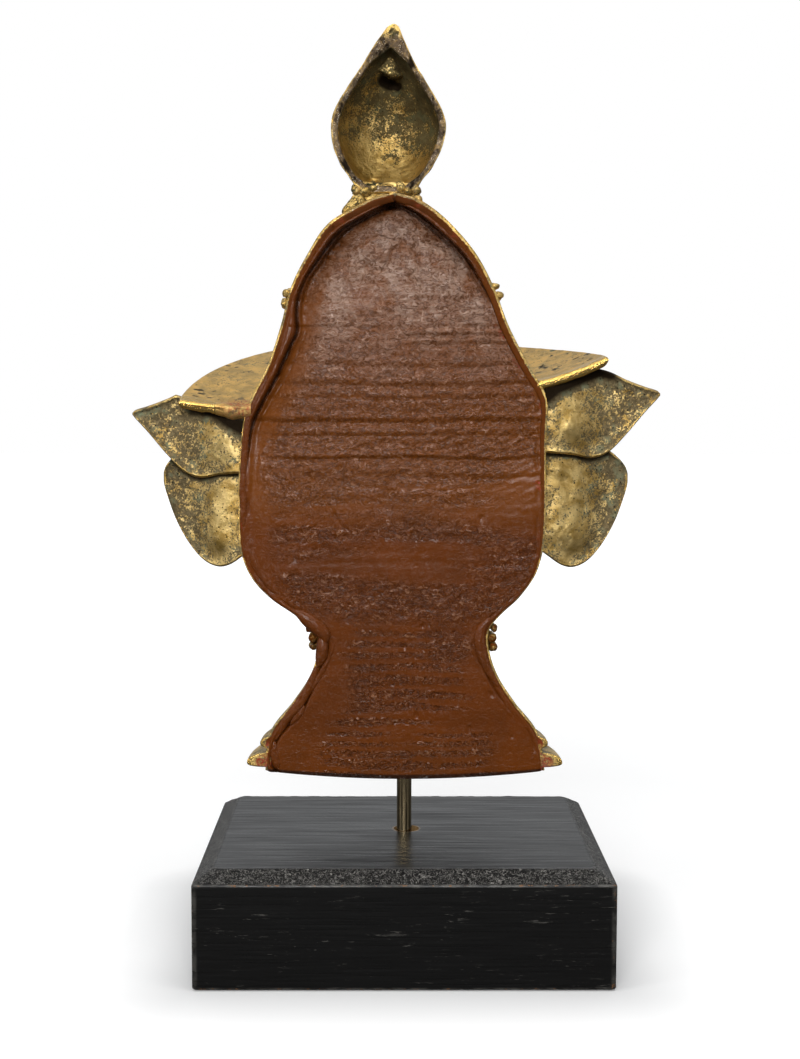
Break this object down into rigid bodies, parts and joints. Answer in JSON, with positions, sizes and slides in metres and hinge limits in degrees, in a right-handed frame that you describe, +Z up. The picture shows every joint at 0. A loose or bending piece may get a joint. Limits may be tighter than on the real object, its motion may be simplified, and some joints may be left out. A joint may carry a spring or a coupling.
{
  "type": "brass khandoba mask on a rod and plinth",
  "caption": "Half-round cast brass mask of a turbaned deity with leaf ears, brim and bud finial, its back filled, on a rod over a bevelled wooden plinth.",
  "frame": {"origin": "centre of the plinth's underside", "axes": "+Z up, the mask's face towards -Y, its filled back towards +Y, +X on the left of someone who looks at the back"},
  "size_m": [0.2179, 0.128, 0.3829],
  "materials": {
    "aged_brass": "aged gold brass with grey-green mottling and bright worn edges",
    "brown_compound": "semi-gloss waxy brown compound, scraped level",
    "dark_brass": "polished bar, darkened",
    "black_wood": "satin black paint worn brown at the edges"
  },
  "bodies": {
    "root": {"mask_casting": "aged_brass", "back_filling": "brown_compound", "mounting_rod": "dark_brass", "plinth": "black_wood"}
  },
  "joints": []
}
